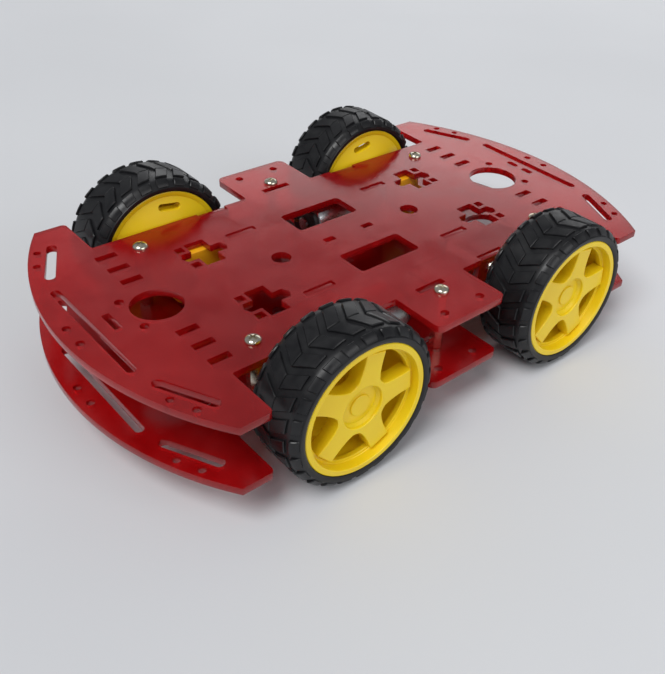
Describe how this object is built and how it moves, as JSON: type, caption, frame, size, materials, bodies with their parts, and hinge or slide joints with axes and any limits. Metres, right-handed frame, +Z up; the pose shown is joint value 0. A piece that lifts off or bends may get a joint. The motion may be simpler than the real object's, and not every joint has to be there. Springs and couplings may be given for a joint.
{
  "type": "four-wheel-drive robot car chassis",
  "caption": "Double-deck red acrylic robot car chassis with a yellow gear motor and a rubber-tyred wheel at each corner, held together by hex standoffs.",
  "frame": {"origin": "on the floor under the tyres, midway between the four wheels", "axes": "+X towards the front of the car, +Y to its left side, +Z up"},
  "size_m": [0.256, 0.1608, 0.065],
  "materials": {
    "red_acrylic": "deep red translucent acrylic sheet with polished faces and a faint milky haze",
    "nickel_plate": "bright nickel plate over brass",
    "gearbox_yellow": "moulded satin plastic",
    "motor_steel": "drawn steel can",
    "white_nylon": "natural nylon",
    "wheel_yellow": "moulded lemon yellow plastic, satin gloss",
    "tyre_rubber": "charcoal black moulded rubber"
  },
  "bodies": {
    "chassis": {"top_plate": "red_acrylic", "bottom_plate": "red_acrylic", "standoff_front_left": "nickel_plate", "standoff_front_right": "nickel_plate", "standoff_middle_left": "nickel_plate", "standoff_middle_right": "nickel_plate", "standoff_rear_left": "nickel_plate", "standoff_rear_right": "nickel_plate", "top_screw_front_left": "nickel_plate", "top_screw_front_right": "nickel_plate", "top_screw_middle_left": "nickel_plate", "top_screw_middle_right": "nickel_plate", "top_screw_rear_left": "nickel_plate", "top_screw_rear_right": "nickel_plate", "bottom_screw_front_left": "nickel_plate", "bottom_screw_front_right": "nickel_plate", "bottom_screw_middle_left": "nickel_plate", "bottom_screw_middle_right": "nickel_plate", "bottom_screw_rear_left": "nickel_plate", "bottom_screw_rear_right": "nickel_plate", "gearbox_outer_front_left": "gearbox_yellow", "gearbox_inner_front_left": "gearbox_yellow", "motor_front_left": "motor_steel", "bracket_outer_front_left": "red_acrylic", "bracket_inner_front_left": "red_acrylic", "motor_screw_upper_front_left": "nickel_plate", "motor_screw_lower_front_left": "nickel_plate", "gearbox_outer_front_right": "gearbox_yellow", "gearbox_inner_front_right": "gearbox_yellow", "motor_front_right": "motor_steel", "bracket_outer_front_right": "red_acrylic", "bracket_inner_front_right": "red_acrylic", "motor_screw_upper_front_right": "nickel_plate", "motor_screw_lower_front_right": "nickel_plate", "gearbox_outer_rear_left": "gearbox_yellow", "gearbox_inner_rear_left": "gearbox_yellow", "motor_rear_left": "motor_steel", "bracket_outer_rear_left": "red_acrylic", "bracket_inner_rear_left": "red_acrylic", "motor_screw_upper_rear_left": "nickel_plate", "motor_screw_lower_rear_left": "nickel_plate", "gearbox_outer_rear_right": "gearbox_yellow", "gearbox_inner_rear_right": "gearbox_yellow", "motor_rear_right": "motor_steel", "bracket_outer_rear_right": "red_acrylic", "bracket_inner_rear_right": "red_acrylic", "motor_screw_upper_rear_right": "nickel_plate", "motor_screw_lower_rear_right": "nickel_plate"},
    "wheel_front_left": {"rim_front_left": "wheel_yellow", "tyre_front_left": "tyre_rubber", "output_gear_front_left": "white_nylon"},
    "wheel_front_right": {"rim_front_right": "wheel_yellow", "tyre_front_right": "tyre_rubber", "output_gear_front_right": "white_nylon"},
    "wheel_rear_left": {"rim_rear_left": "wheel_yellow", "tyre_rear_left": "tyre_rubber", "output_gear_rear_left": "white_nylon"},
    "wheel_rear_right": {"rim_rear_right": "wheel_yellow", "tyre_rear_right": "tyre_rubber", "output_gear_rear_right": "white_nylon"}
  },
  "joints": [
    {"name": "wheel_spin_front_left", "type": "hinge", "parent": "chassis", "child": "wheel_front_left", "pos_m": [0.0573, 0.0672, 0.0325], "axis": [0, 1, 0], "continuous": true},
    {"name": "wheel_spin_front_right", "type": "hinge", "parent": "chassis", "child": "wheel_front_right", "pos_m": [0.0573, -0.0672, 0.0325], "axis": [0, 1, 0], "continuous": true},
    {"name": "wheel_spin_rear_left", "type": "hinge", "parent": "chassis", "child": "wheel_rear_left", "pos_m": [-0.0573, 0.0672, 0.0325], "axis": [0, 1, 0], "continuous": true},
    {"name": "wheel_spin_rear_right", "type": "hinge", "parent": "chassis", "child": "wheel_rear_right", "pos_m": [-0.0573, -0.0672, 0.0325], "axis": [0, 1, 0], "continuous": true}
  ]
}
